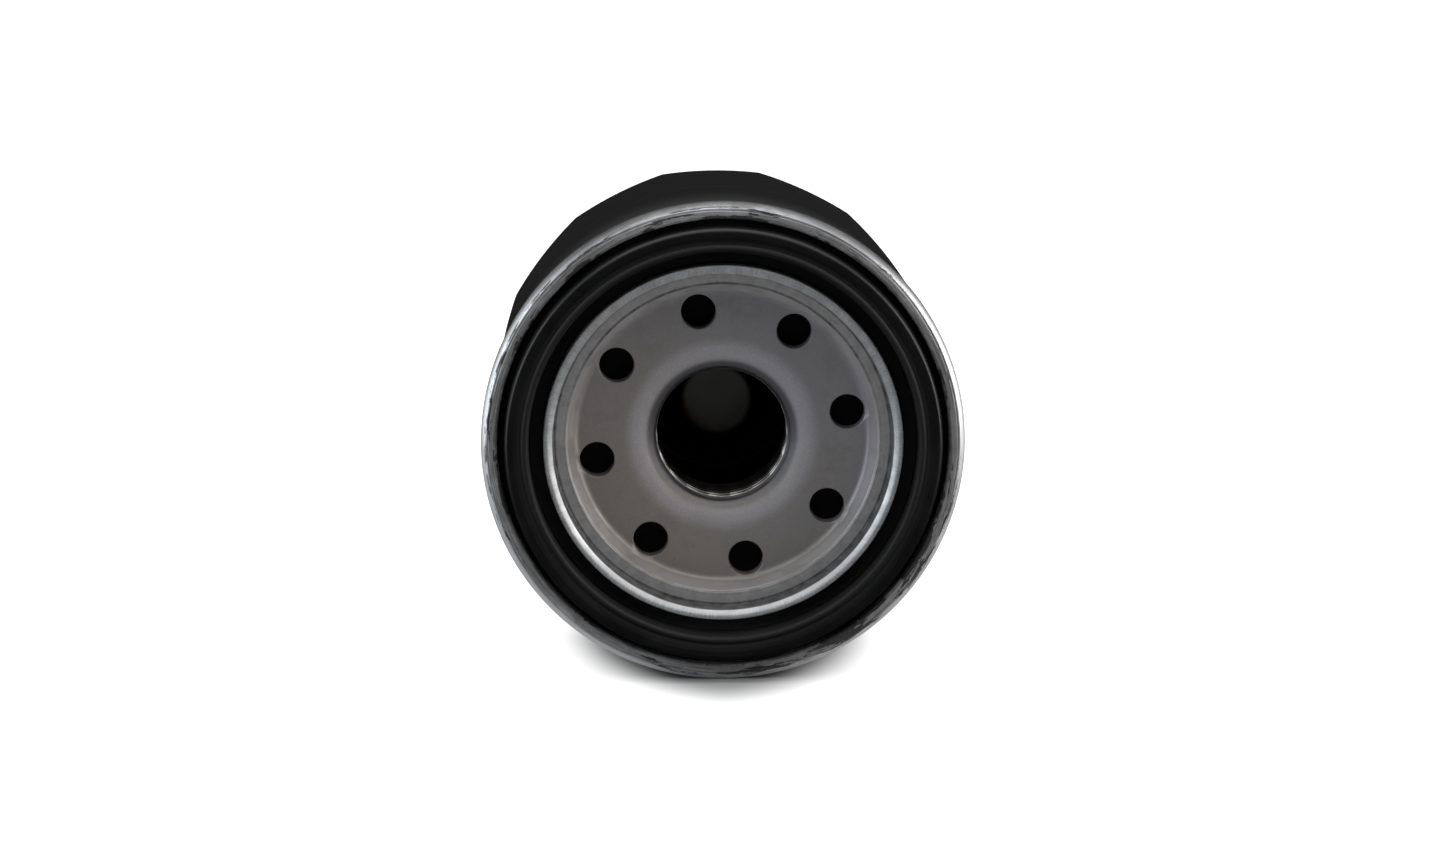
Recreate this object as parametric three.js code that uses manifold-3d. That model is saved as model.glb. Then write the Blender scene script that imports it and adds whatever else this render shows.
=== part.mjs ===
// Spin-on oil filter, in millimetres, lying on its side with its thread end facing -Y.
// The filter's axis is the Y axis, and y is the depth behind the gasket's sealing face.
// Every profile is a closed outline of [radius, y] points that turns about that axis.

import * as THREE from 'three';
import * as BufferGeometryUtils from 'three/addons/utils/BufferGeometryUtils.js';
import Module from 'manifold-3d';

const wasm = await Module();
wasm.setup();

// ---- driving dimensions -------------------------------------------------------------------

const FINE_SEGMENTS = 56;
const SHEET_SEGMENTS = 70; // five facets to each flute of the can
const INNER_SEGMENTS = 28;
const CLEARANCE = 0.05; // between pieces that press, crimp or weld together
const FIT = 0.1; // between inner pieces that rest on each other

const CAN = { radius: 33.3, sheet: 0.4, length: 60, cornerRadius: 8.5, neckRadius: 32.98 };
const FLUTES = { count: 14, acrossFlats: 66.1, crownRadius: 47.2, start: 29, full: 34, fadeFrom: 30, fadeTo: 18 };
const DOME = { flatRadius: 24.8, recessRadius: 17, recessDepth: 1 };
const SEAM = { radius: 34.4, top: 2.1, bottom: 5.4, hookTop: 3.4, round: 0.9, layerGap: 0.03 };
const LID = { sheet: 0.5, wallRadius: 32.05, floor: 5.6, collarRadius: 25.55, collarWidth: 1.4, flangeRadius: 22.3, fillet: 0.4 };
const COMPOUND = { innerRadius: 32.8, outerRadius: 33.7, thickness: 0.2 };

const PLATE = { radius: 30.8, sheet: 2.5, face: 8.65, wallTop: 22.2, wallFoot: 20.9 };
const HOLES = { count: 8, radius: 2.5, circleRadius: 18.25, phase: 10.7 };
const THREAD = { minorRadius: 9.2, majorRadius: 10 };
const NECK = { radius: 12.5, end: 20.5, entryRadius: 3 };

const GASKET = { outerRadius: 31.95, lipOuter: 31.3, lipInner: 27.8, shoulder: 3.4, edge: 0.35 };
const DRAINBACK = { collarRadius: 14, front: 12.9, back: 17.2, lipRadius: 24.5, rubber: 1.1 };

const ELEMENT = { radius: 28.5, front: 18.6, back: 49, sheet: 0.5, rim: 3.5, hubRadius: 13.2 };
const GROMMET = { innerRadius: 10.8, outerRadius: 12.6, thickness: 1.2 };
const TUBE = { innerRadius: 11.9, outerRadius: 12.5, holeRadius: 1.6, rows: 4, drills: 3 };
const POTTING = { innerRadius: 13.4, outerRadius: 27.85, thickness: 1.1 };
const MEDIA = { innerRadius: 13.8, outerRadius: 27, pleats: 36, paper: 0.8, tipWidth: 1.6 };
const CLIP = { sheet: 0.35, reach: 4 };

const SEAT = { radius: 11.6, boreRadius: 4.5, sheet: 0.7, lip: 0.4 };
const CAGE = { wallRadius: 8, bottomRadius: 5.3, bottom: 39, sheet: 0.6, shoulder: 42.2, windows: 3, windowWidth: 5, windowHeight: 3.4 };
const POPPET = { radius: 6.2, sheet: 0.65, hubRadius: 1.9, pilotRadius: 2.6, pilot: 1.6 };
const SEAL = { innerRadius: 2, radius: 6.4, thickness: 1.1 };
const BYPASS_SPRING = { radius: 3.6, wire: 0.7, turns: 3, sides: 5, stepsPerTurn: 9 };
const ELEMENT_SPRING = { radius: 12.4, wire: 1.6, turns: 3, sides: 6, stepsPerTurn: 14 };

// ---- depths worked out from the driving dimensions ------------------------------------------

const SEAT_BACK = ELEMENT.back - ELEMENT.sheet - FIT;
const SEAT_FRONT = SEAT_BACK - SEAT.sheet;
const SEAT_EDGE = SEAT_FRONT - SEAT.lip;
const SEAL_FRONT = SEAT_EDGE - CLEARANCE - SEAL.thickness;
const POPPET_FRONT = SEAL_FRONT - CLEARANCE - POPPET.sheet;
const GROMMET_FRONT = NECK.end + CLEARANCE;
const HUB_FRONT = GROMMET_FRONT + GROMMET.thickness + CLEARANCE;
const HUB_BACK = HUB_FRONT + ELEMENT.sheet;
const MEDIA_FRONT = ELEMENT.front + ELEMENT.sheet + POTTING.thickness + 2 * FIT;
const MEDIA_BACK = ELEMENT.back - ELEMENT.sheet - POTTING.thickness - 2 * FIT;

// ---- shared helpers ---------------------------------------------------------------------------

function radians(degrees) {
  return (degrees * Math.PI) / 180;
}

// Points on an arc about [r, y], for smooth corners in a profile.
function arc(r, y, radius, fromDegrees, toDegrees, steps) {
  const points = [];
  for (let i = 0; i <= steps; i++) {
    const angle = radians(fromDegrees + ((toDegrees - fromDegrees) * i) / steps);
    points.push([r + radius * Math.cos(angle), y + radius * Math.sin(angle)]);
  }
  return points;
}

function signedArea(profile) {
  let sum = 0;
  profile.forEach(([r, y], i) => {
    const [nextR, nextY] = profile[(i + 1) % profile.length];
    sum += r * nextY - nextR * y;
  });
  return sum / 2;
}

// Turns a closed [radius, y] outline about the filter's axis, with its faces pointing out.
function revolve(profile, segments = INNER_SEGMENTS, start = 0) {
  const outline = signedArea(profile) > 0 ? profile : [...profile].reverse();
  const points = [...outline, outline[0]].map(([r, y]) => new THREE.Vector2(r, y));
  return new THREE.LatheGeometry(points, segments, start);
}

// The can's and the lid's sheets share their facets, and one facet lies square on each flute's crown.
function revolveSheet(profile) {
  return revolve(profile, SHEET_SEGMENTS, Math.PI / SHEET_SEGMENTS);
}

// A flat ring of rectangular section.
function ring(innerRadius, outerRadius, front, back, segments = INNER_SEGMENTS) {
  const profile = [
    [innerRadius, front],
    [outerRadius, front],
    [outerRadius, back],
    [innerRadius, back],
  ];
  return revolve(profile, segments);
}

function toSolid(geometry) {
  const bare = geometry.clone();
  bare.deleteAttribute('normal');
  bare.deleteAttribute('uv');
  const merged = BufferGeometryUtils.mergeVertices(bare);
  return new wasm.Manifold(
    new wasm.Mesh({
      numProp: 3,
      vertProperties: new Float32Array(merged.attributes.position.array),
      triVerts: new Uint32Array(merged.index.array),
    }),
  );
}

function toGeometry(solid) {
  const mesh = solid.getMesh();
  const geometry = new THREE.BufferGeometry();
  geometry.setAttribute('position', new THREE.BufferAttribute(new Float32Array(mesh.vertProperties), 3));
  geometry.setIndex(new THREE.BufferAttribute(new Uint32Array(mesh.triVerts), 1));
  geometry.computeVertexNormals();
  return geometry;
}

function cut(geometry, cutters) {
  const solid = cutters.reduce((left, cutter) => left.subtract(toSolid(cutter)), toSolid(geometry));
  return toGeometry(solid);
}

// A closed outline of [x, z] points, extruded along the filter's axis from front to back.
function extrudeAlongAxis(outline, holes, front, back) {
  const toVectors = (points) => points.map(([x, z]) => new THREE.Vector2(x, z));
  const shape = new THREE.Shape(toVectors(outline));
  holes.forEach((hole) => shape.holes.push(new THREE.Path(toVectors(hole))));
  const geometry = new THREE.ExtrudeGeometry(shape, { depth: back - front, bevelEnabled: false });
  geometry.rotateX(Math.PI / 2);
  geometry.translate(0, back, 0);
  return geometry;
}

function polar(radius, angle) {
  return [radius * Math.cos(angle), radius * Math.sin(angle)];
}

class Helix extends THREE.Curve {
  constructor(radius, front, back, turns) {
    super();
    Object.assign(this, { radius, front, back, turns });
  }

  getPoint(t, target = new THREE.Vector3()) {
    const [x, z] = polar(this.radius, 2 * Math.PI * this.turns * t);
    return target.set(x, THREE.MathUtils.lerp(this.front, this.back, t), z);
  }
}

// A coil spring that just fits between two flat faces.
function coil(spring, frontFace, backFace) {
  const inset = spring.wire / 2 + CLEARANCE;
  const path = new Helix(spring.radius, frontFace + inset, backFace - inset, spring.turns);
  const section = new THREE.Shape();
  for (let i = 0; i < spring.sides; i++) {
    const [x, y] = polar(spring.wire / 2, (2 * Math.PI * i) / spring.sides);
    if (i === 0) section.moveTo(x, y);
    else section.lineTo(x, y);
  }
  section.closePath();
  const steps = spring.turns * spring.stepsPerTurn;
  return new THREE.ExtrudeGeometry(section, { steps, extrudePath: path, bevelEnabled: false });
}

// ---- steel can ----------------------------------------------------------------------------------

// How far a flute's crowned flat presses the wall in at this angle about the axis, 0 on top.
function fluteDepth(angle) {
  const pitch = (2 * Math.PI) / FLUTES.count;
  const offset = angle - pitch * Math.round(angle / pitch);
  const crownCentre = FLUTES.acrossFlats / 2 - FLUTES.crownRadius;
  const reach = Math.sqrt(FLUTES.crownRadius ** 2 - (crownCentre * Math.sin(offset)) ** 2);
  return CAN.radius - crownCentre * Math.cos(offset) - reach;
}

// Presses the flutes into the wall, fading out over the domed end.
function pressFlutes(geometry) {
  const position = geometry.attributes.position;
  for (let i = 0; i < position.count; i++) {
    const x = position.getX(i);
    const z = position.getZ(i);
    const radius = Math.hypot(x, z);
    const along = THREE.MathUtils.smoothstep(position.getY(i), FLUTES.start, FLUTES.full);
    const across = THREE.MathUtils.smoothstep(radius, FLUTES.fadeTo, FLUTES.fadeFrom);
    const scale = 1 - (fluteDepth(Math.atan2(x, z)) * along * across) / CAN.radius;
    position.setX(i, x * scale);
    position.setZ(i, z * scale);
  }
  return geometry;
}

// One side of the can's sheet, from the shoulder under the seam to the middle of the domed end.
function canSkin(inset) {
  const wall = CAN.radius - inset;
  const end = CAN.length - inset;
  const cornerY = CAN.length - CAN.cornerRadius;
  const recessEnd = end - DOME.recessDepth;
  return [
    [wall, SEAM.bottom + 1.6],
    [wall, FLUTES.start],
    [wall, FLUTES.full],
    ...arc(DOME.flatRadius, cornerY, CAN.cornerRadius - inset, 0, 90, 4),
    [DOME.recessRadius + inset / 2, end],
    [DOME.recessRadius + inset / 2 - 1.5, recessEnd],
    [0, recessEnd],
  ];
}

// The open end is turned out and down, and hooks into the lid to make the double seam.
function canister() {
  const inner = CAN.neckRadius - CAN.sheet;
  const hookOuter = SEAM.radius - LID.sheet - SEAM.layerGap;
  const hookInner = hookOuter - CAN.sheet;
  const top = SEAM.top + LID.sheet + COMPOUND.thickness + 2 * SEAM.layerGap;
  const hookEnd = SEAM.bottom - LID.sheet - CLEARANCE;
  const profile = [
    [hookOuter, hookEnd],
    [hookOuter, top],
    [inner, top],
    [inner, SEAM.bottom],
    ...canSkin(CAN.sheet),
    ...canSkin(0).reverse(),
    [CAN.neckRadius, SEAM.bottom],
    [CAN.neckRadius, top + CAN.sheet],
    [hookInner, top + CAN.sheet],
    [hookInner, hookEnd],
  ];
  return pressFlutes(revolveSheet(profile));
}

// ---- seaming lid, its seam compound and the gasket ---------------------------------------------

function seamingLid() {
  const { sheet, wallRadius, floor, collarRadius, flangeRadius, fillet } = LID;
  const under = floor + sheet;
  const collarInner = collarRadius - LID.collarWidth;
  const collarMiddle = (collarRadius + collarInner) / 2;
  const collarRound = LID.collarWidth / 2;
  const hookOuter = SEAM.radius - sheet - CAN.sheet - 2 * SEAM.layerGap;
  const hookInner = CAN.neckRadius + SEAM.layerGap;
  const profile = [
    [flangeRadius, floor],
    [flangeRadius, under],
    [collarInner + sheet, under],
    [collarInner + sheet, SEAM.top + collarRound],
    [collarRadius - sheet, SEAM.top + collarRound],
    [collarRadius - sheet, under],
    [wallRadius, under],
    [wallRadius + sheet, floor],
    [wallRadius + sheet, SEAM.top + sheet],
    [SEAM.radius - sheet, SEAM.top + sheet],
    [SEAM.radius - sheet, SEAM.bottom - sheet],
    [hookOuter, SEAM.bottom - sheet],
    [hookOuter, SEAM.hookTop],
    [hookInner, SEAM.hookTop],
    [hookInner, SEAM.bottom],
    [SEAM.radius - fillet, SEAM.bottom],
    [SEAM.radius, SEAM.bottom - fillet],
    [SEAM.radius, SEAM.top + SEAM.round],
    [SEAM.radius - 0.3 * SEAM.round, SEAM.top + 0.3 * SEAM.round],
    [SEAM.radius - SEAM.round, SEAM.top],
    [wallRadius + fillet, SEAM.top],
    [wallRadius, SEAM.top + fillet],
    [wallRadius, floor - fillet],
    [wallRadius - fillet, floor],
    [collarRadius + fillet, floor],
    [collarRadius, floor - fillet],
    ...arc(collarMiddle, SEAM.top + collarRound, collarRound, 0, -180, 4),
    [collarInner, floor - 2 * fillet],
    [collarInner - 2 * fillet, floor],
  ];
  return revolveSheet(profile);
}

function seamCompound() {
  const front = SEAM.top + LID.sheet + SEAM.layerGap;
  return ring(COMPOUND.innerRadius, COMPOUND.outerRadius, front, front + COMPOUND.thickness);
}

// A raised sealing lip on a broad foot that fills the lid's channel.
function sealingGasket() {
  const foot = LID.floor - CLEARANCE;
  const innerRadius = LID.collarRadius + FIT;
  const { outerRadius, lipOuter, lipInner, shoulder, edge } = GASKET;
  const lidFillet = LID.fillet;
  const profile = [
    [innerRadius + lidFillet, foot],
    [outerRadius - lidFillet, foot],
    [outerRadius, foot - lidFillet],
    [outerRadius, shoulder],
    [lipOuter, shoulder - 0.6],
    [lipOuter, edge],
    [lipOuter - edge, 0],
    [lipInner + edge, 0],
    [lipInner, edge],
    [lipInner, shoulder],
    [innerRadius, shoulder],
    [innerRadius, foot - lidFillet],
  ];
  return revolve(profile, FINE_SEGMENTS);
}

// ---- base plate ------------------------------------------------------------------------------------

// A thick pressed plate: flat rim under the lid, dished face with inlet holes, threaded neck.
function basePlate() {
  const top = LID.floor + LID.sheet + CLEARANCE;
  const under = PLATE.face + PLATE.sheet;
  const rimUnder = top + PLATE.sheet;
  const entryRadius = NECK.entryRadius;
  const entryStart = THREAD.majorRadius + 0.6 + entryRadius;
  const entryY = PLATE.face + entryRadius;
  const profile = [
    [PLATE.radius, top],
    [PLATE.radius, rimUnder],
    [PLATE.wallTop + 1, rimUnder],
    [PLATE.wallFoot + 1, under],
    [NECK.radius + 1.8, under],
    [NECK.radius, under + 1.4],
    [NECK.radius, NECK.end],
    [THREAD.majorRadius - 0.4, NECK.end],
    [THREAD.minorRadius, NECK.end - 0.4],
    [THREAD.minorRadius, entryY + 1.4],
    [THREAD.majorRadius, entryY + 0.6],
    ...arc(entryStart, entryY, entryRadius, 180, 270, 3),
    [PLATE.wallFoot, PLATE.face],
    [PLATE.wallTop, top],
  ];
  return cut(revolve(profile, FINE_SEGMENTS), inletHoles());
}

function inletHoles() {
  const cutters = [];
  for (let i = 0; i < HOLES.count; i++) {
    const [x, z] = polar(HOLES.circleRadius, radians(HOLES.phase + (360 * i) / HOLES.count));
    const drill = new THREE.CylinderGeometry(HOLES.radius, HOLES.radius, 4 * PLATE.sheet, 16);
    drill.translate(x, PLATE.face + PLATE.sheet / 2, z);
    cutters.push(drill);
  }
  return cutters;
}

// ---- anti-drain-back valve -----------------------------------------------------------------------

// A rubber dish whose collar rides on the neck and whose lip seals outside the inlet holes.
function antiDrainbackValve() {
  const { collarRadius, front, back, lipRadius, rubber } = DRAINBACK;
  const plateUnder = LID.floor + LID.sheet + CLEARANCE + PLATE.sheet;
  const lip = plateUnder + FIT;
  const dish = PLATE.face + PLATE.sheet + 1.6;
  const profile = [
    [NECK.radius + 0.15, front],
    [collarRadius, dish],
    [PLATE.wallTop - 0.6, dish - 0.4],
    [lipRadius - rubber, lip + 0.8],
    [lipRadius - 0.3, lip],
    [lipRadius, lip + 0.5],
    [PLATE.wallTop + 0.2, dish + rubber - 0.5],
    [collarRadius + 0.5, dish + rubber],
    [collarRadius, back],
    [NECK.radius + 0.15, back],
  ];
  return revolve(profile);
}

// ---- filter element -------------------------------------------------------------------------------

function lowerEndCap() {
  const { radius, front, sheet, rim, hubRadius } = ELEMENT;
  const profile = [
    [radius, front + rim],
    [radius - sheet, front + rim],
    [radius - sheet, front + sheet],
    [hubRadius, front + sheet],
    [hubRadius, HUB_BACK],
    [GROMMET.innerRadius, HUB_BACK],
    [GROMMET.innerRadius, HUB_FRONT],
    [hubRadius - sheet, HUB_FRONT],
    [hubRadius - sheet, front],
    [radius, front],
  ];
  return revolve(profile);
}

function upperEndCap() {
  const { radius, back, sheet, rim } = ELEMENT;
  const inletRadius = 8;
  const profile = [
    [inletRadius, back - sheet],
    [radius - sheet, back - sheet],
    [radius - sheet, back - rim],
    [radius, back - rim],
    [radius, back],
    [inletRadius, back],
  ];
  return revolve(profile);
}

// Rows of holes through the tube's wall, each drill making two opposite holes.
function tubeDrills(front, back) {
  const cutters = [];
  for (let row = 0; row < TUBE.rows; row++) {
    const y = THREE.MathUtils.lerp(front, back, (row + 0.5) / TUBE.rows);
    for (let i = 0; i < TUBE.drills; i++) {
      const length = 3 * TUBE.outerRadius;
      const drill = new THREE.CylinderGeometry(TUBE.holeRadius, TUBE.holeRadius, length, 8);
      drill.rotateX(Math.PI / 2);
      drill.rotateY((Math.PI * (i + (row % 2) / 2)) / TUBE.drills);
      drill.translate(0, y, 0);
      cutters.push(drill);
    }
  }
  return cutters;
}

function centerTube() {
  const front = HUB_BACK + FIT;
  const back = ELEMENT.back - ELEMENT.sheet - FIT;
  const wall = ring(TUBE.innerRadius, TUBE.outerRadius, front, back);
  return cut(wall, tubeDrills(front, back));
}

function potting(front) {
  return ring(POTTING.innerRadius, POTTING.outerRadius, front, front + POTTING.thickness);
}

// Folded paper: a star-shaped wall of even thickness, one fold in and one fold out per pleat.
function pleatedMedia() {
  const outside = [];
  const inside = [];
  const halfPitch = Math.PI / MEDIA.pleats;
  const outerTip = MEDIA.tipWidth / 2 / MEDIA.outerRadius;
  const innerTip = MEDIA.tipWidth / 2 / MEDIA.innerRadius;
  for (let i = 0; i < MEDIA.pleats; i++) {
    const angle = 2 * halfPitch * i;
    outside.push(polar(MEDIA.outerRadius, angle - outerTip));
    outside.push(polar(MEDIA.outerRadius, angle + outerTip));
    outside.push(polar(MEDIA.innerRadius + MEDIA.paper, angle + halfPitch));
    inside.push(polar(MEDIA.outerRadius - MEDIA.paper, angle));
    inside.push(polar(MEDIA.innerRadius, angle + halfPitch - innerTip / 2));
    inside.push(polar(MEDIA.innerRadius, angle + halfPitch + innerTip / 2));
  }
  return extrudeAlongAxis(outside, [inside], MEDIA_FRONT, MEDIA_BACK);
}

// A U-shaped steel strip crimped over the pleat where the paper's two ends meet.
function mediaSeamClip() {
  const gap = 0.2;
  const outer = MEDIA.outerRadius + gap + CLIP.sheet;
  const inner = MEDIA.outerRadius - CLIP.reach;
  const halfInside = MEDIA.tipWidth / 2 + 0.3;
  const halfOutside = halfInside + CLIP.sheet;
  const outline = [
    [inner, -halfOutside],
    [outer, -halfOutside],
    [outer, halfOutside],
    [inner, halfOutside],
    [inner, halfInside],
    [outer - CLIP.sheet, halfInside],
    [outer - CLIP.sheet, -halfInside],
    [inner, -halfInside],
  ];
  return extrudeAlongAxis(outline, [], MEDIA_FRONT, MEDIA_BACK);
}

function elementGrommet() {
  return ring(GROMMET.innerRadius, GROMMET.outerRadius, GROMMET_FRONT, GROMMET_FRONT + GROMMET.thickness);
}

// ---- bypass valve ------------------------------------------------------------------------------------

function bypassSeat() {
  const profile = [
    [SEAT.boreRadius, SEAT_EDGE],
    [SEAT.boreRadius + 0.5, SEAT_EDGE],
    [SEAT.boreRadius + 0.9, SEAT_FRONT],
    [SEAT.radius, SEAT_FRONT],
    [SEAT.radius, SEAT_BACK],
    [SEAT.boreRadius, SEAT_BACK],
  ];
  return revolve(profile);
}

// A spring cage hung under the seat, with windows that let the bypassed oil out.
function bypassCage() {
  const { wallRadius, bottomRadius, bottom, sheet, shoulder } = CAGE;
  const flangeBack = SEAT_FRONT - CLEARANCE;
  const profile = [
    [0, bottom],
    [bottomRadius, bottom],
    [wallRadius, shoulder],
    [wallRadius, flangeBack - sheet],
    [SEAT.radius, flangeBack - sheet],
    [SEAT.radius, flangeBack],
    [wallRadius - sheet, flangeBack],
    [wallRadius - sheet, shoulder + sheet],
    [bottomRadius - sheet, bottom + sheet],
    [0, bottom + sheet],
  ];
  return cut(revolve(profile), cageWindows());
}

function cageWindows() {
  const cutters = [];
  for (let i = 0; i < CAGE.windows; i++) {
    const window = new THREE.BoxGeometry(CAGE.windowWidth, CAGE.windowHeight, CAGE.wallRadius);
    window.translate(0, CAGE.shoulder + (CAGE.windowHeight + 1) / 2, CAGE.wallRadius);
    window.rotateY((2 * Math.PI * i) / CAGE.windows);
    cutters.push(window);
  }
  return cutters;
}

// A steel disc with a pilot that centres its spring and a hub that carries the rubber seal.
function bypassPoppet() {
  const back = POPPET_FRONT + POPPET.sheet;
  const profile = [
    [0, POPPET_FRONT - POPPET.pilot],
    [POPPET.pilotRadius, POPPET_FRONT - POPPET.pilot],
    [POPPET.pilotRadius, POPPET_FRONT],
    [POPPET.radius, POPPET_FRONT],
    [POPPET.radius, back],
    [POPPET.hubRadius, back],
    [POPPET.hubRadius, SEAT_EDGE + 0.2],
    [0, SEAT_EDGE + 0.2],
  ];
  return revolve(profile);
}

function bypassSeal() {
  return ring(SEAL.innerRadius, SEAL.radius, SEAL_FRONT, SEAL_FRONT + SEAL.thickness);
}

// ---- materials ------------------------------------------------------------------------------------------

function material(color, roughness, metalness) {
  return new THREE.MeshStandardMaterial({ color, roughness, metalness });
}

const blackPaint = material(0x1c1c1d, 0.4, 0.2);
const tinplate = material(0xa9abac, 0.35, 0.9);
const bareSteel = material(0x77726f, 0.5, 0.85);
const springSteel = material(0x8d8d8a, 0.35, 0.9);
const blackRubber = material(0x111112, 0.6, 0);
const filterPaper = material(0xb98a4e, 0.9, 0);
const plastisol = material(0x2e3f2c, 0.7, 0);
const compound = material(0x9c9a90, 0.7, 0);

// ---- assembly ---------------------------------------------------------------------------------------------

const filter = new THREE.Group();

function addPiece(name, geometry, finish) {
  const mesh = new THREE.Mesh(geometry, finish);
  mesh.name = name;
  filter.add(mesh);
}

const lowerPottingFront = ELEMENT.front + ELEMENT.sheet + FIT;
const upperPottingFront = MEDIA_BACK + FIT;
const cageFloor = CAGE.bottom + CAGE.sheet;
const domeInside = CAN.length - CAN.sheet - DOME.recessDepth;

addPiece('canister', canister(), blackPaint);
addPiece('seaming_lid', seamingLid(), tinplate);
addPiece('seam_compound', seamCompound(), compound);
addPiece('base_plate', basePlate(), bareSteel);
addPiece('sealing_gasket', sealingGasket(), blackRubber);
addPiece('anti_drainback_valve', antiDrainbackValve(), blackRubber);
addPiece('element_spring', coil(ELEMENT_SPRING, ELEMENT.back, domeInside), springSteel);

addPiece('lower_end_cap', lowerEndCap(), tinplate);
addPiece('upper_end_cap', upperEndCap(), tinplate);
addPiece('element_grommet', elementGrommet(), blackRubber);
addPiece('center_tube', centerTube(), tinplate);
addPiece('lower_potting', potting(lowerPottingFront), plastisol);
addPiece('upper_potting', potting(upperPottingFront), plastisol);
addPiece('pleated_media', pleatedMedia(), filterPaper);
addPiece('media_seam_clip', mediaSeamClip(), tinplate);

addPiece('bypass_seat', bypassSeat(), tinplate);
addPiece('bypass_cage', bypassCage(), tinplate);
addPiece('bypass_spring', coil(BYPASS_SPRING, cageFloor, POPPET_FRONT), springSteel);
addPiece('bypass_poppet', bypassPoppet(), tinplate);
addPiece('bypass_seal', bypassSeal(), blackRubber);

export default filter;
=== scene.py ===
import math

import bmesh
import bpy
import numpy as np
from mathutils import Matrix, Vector


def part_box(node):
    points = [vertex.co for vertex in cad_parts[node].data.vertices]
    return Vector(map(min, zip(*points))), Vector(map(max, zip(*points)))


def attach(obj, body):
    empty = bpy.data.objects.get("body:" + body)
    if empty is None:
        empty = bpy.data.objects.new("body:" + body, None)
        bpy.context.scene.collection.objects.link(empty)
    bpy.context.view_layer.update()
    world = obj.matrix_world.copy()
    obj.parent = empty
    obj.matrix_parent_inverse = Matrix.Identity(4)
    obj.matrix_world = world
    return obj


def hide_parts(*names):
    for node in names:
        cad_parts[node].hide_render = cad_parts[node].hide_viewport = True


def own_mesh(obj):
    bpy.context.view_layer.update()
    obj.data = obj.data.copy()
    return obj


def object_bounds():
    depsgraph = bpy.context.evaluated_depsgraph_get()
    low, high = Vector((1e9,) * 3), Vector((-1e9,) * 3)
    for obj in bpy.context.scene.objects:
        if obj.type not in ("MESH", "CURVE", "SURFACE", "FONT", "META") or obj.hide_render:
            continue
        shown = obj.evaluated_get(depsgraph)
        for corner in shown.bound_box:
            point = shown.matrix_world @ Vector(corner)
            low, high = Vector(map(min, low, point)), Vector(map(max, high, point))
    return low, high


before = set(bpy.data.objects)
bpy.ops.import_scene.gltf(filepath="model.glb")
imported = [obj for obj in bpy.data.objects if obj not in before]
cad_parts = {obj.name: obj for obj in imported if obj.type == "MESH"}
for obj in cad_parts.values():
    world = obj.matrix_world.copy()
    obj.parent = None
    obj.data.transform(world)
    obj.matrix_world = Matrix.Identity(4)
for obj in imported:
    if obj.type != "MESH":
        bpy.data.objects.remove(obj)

# A spin-on oil filter lying on its side, its thread end towards the camera (-Y).
# The filter's axis is Y. Profiles are (radius, depth) in millimetres, depth counted from the gasket's
# sealing face towards the closed end. Meshes are made in metres.

MM = 0.001
CAD_BOX = [list(corner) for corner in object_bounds()]


def reach(node):
    """The outer radius, front and back in millimetres of a CAD node that is round about the axis."""
    low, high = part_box(node)
    return high[2] / MM, low[1] / MM, high[1] / MM


# ---- dimensions ---------------------------------------------------------------------------------

SEAM_RADIUS, SEAM_FRONT, LID_BACK = reach("seaming_lid")
HOOK_RADIUS, HOOK_FRONT, CAN_BACK = reach("canister")
GASKET_RADIUS, GASKET_FRONT, GASKET_BACK = reach("sealing_gasket")
PLATE_RADIUS, PLATE_FRONT, NECK_BACK = reach("base_plate")
LIP_RADIUS, LIP_FRONT, COLLAR_BACK = reach("anti_drainback_valve")
ELEMENT_RADIUS, ELEMENT_FRONT, LOWER_CAP_BACK = reach("lower_end_cap")
UPPER_CAP_RADIUS, UPPER_CAP_FRONT, ELEMENT_BACK = reach("upper_end_cap")
GROMMET_RADIUS, GROMMET_FRONT, GROMMET_BACK = reach("element_grommet")
TUBE_RADIUS, TUBE_FRONT, TUBE_BACK = reach("center_tube")
POTTING_RADIUS, LOWER_POTTING_FRONT, LOWER_POTTING_BACK = reach("lower_potting")
UPPER_POTTING_FRONT, UPPER_POTTING_BACK = reach("upper_potting")[1:]
MEDIA_FRONT, MEDIA_BACK = reach("pleated_media")[1:]
SEAT_RADIUS, SEAT_FRONT, SEAT_BACK = reach("bypass_seat")
CAGE_FRONT, CAGE_BACK = reach("bypass_cage")[1:]
POPPET_RADIUS, POPPET_FRONT, POPPET_BACK = reach("bypass_poppet")
SEAL_RADIUS, SEAL_FRONT, SEAL_BACK = reach("bypass_seal")
COMPOUND_RADIUS, COMPOUND_FRONT, COMPOUND_BACK = reach("seam_compound")

CAN_RADIUS = 33.3
NECK_IN_RADIUS = 32.98
CAN_SHEET = 0.4
LID_SHEET = 0.5
SEAM_BACK = 5.4
SEAM_CREASE = 33.3
LID_WALL = 32.05
LID_FLOOR = LID_BACK - LID_SHEET
COLLAR_OUTER = 25.55
COLLAR_INNER = 24.15
FLANGE_RADIUS = 22.3

FLUTES = 14
FLUTE_HALF = math.pi / FLUTES
FLUTE_STEPS = 30
FLUTE_TURN = 2 * math.pi / (FLUTES * FLUTE_STEPS)
FLUTE_CROWN = 32.9
FLUTE_CURVE = 56
FLUTE_VERTEX = 33.27
FLUTE_SOFTNESS = 0.012
FLUTE_START = 28.5
FLUTE_FULL = 34.5
FLUTE_FADE = (17, 30)
CORNER_RADIUS = 8.5
RECESS_RADIUS = 17
RECESS_DEPTH = 1

PLATE_SHEET = 2.5
PLATE_FACE = 8.65
DISH_TOP = 22.2
DISH_FOOT = 20.9
HOLE_COUNT = 8
HOLE_RADIUS = 2.48
HOLE_CIRCLE = 18.25
HOLE_PHASE = math.radians(10.7)
NECK_RADIUS = 12.5
NECK_ENTRY = 2.6
THREAD_MINOR = 9.32
THREAD_MAJOR = 10
THREAD_PITCH = 1.5
ENTRY_RADIUS = 13.5

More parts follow.
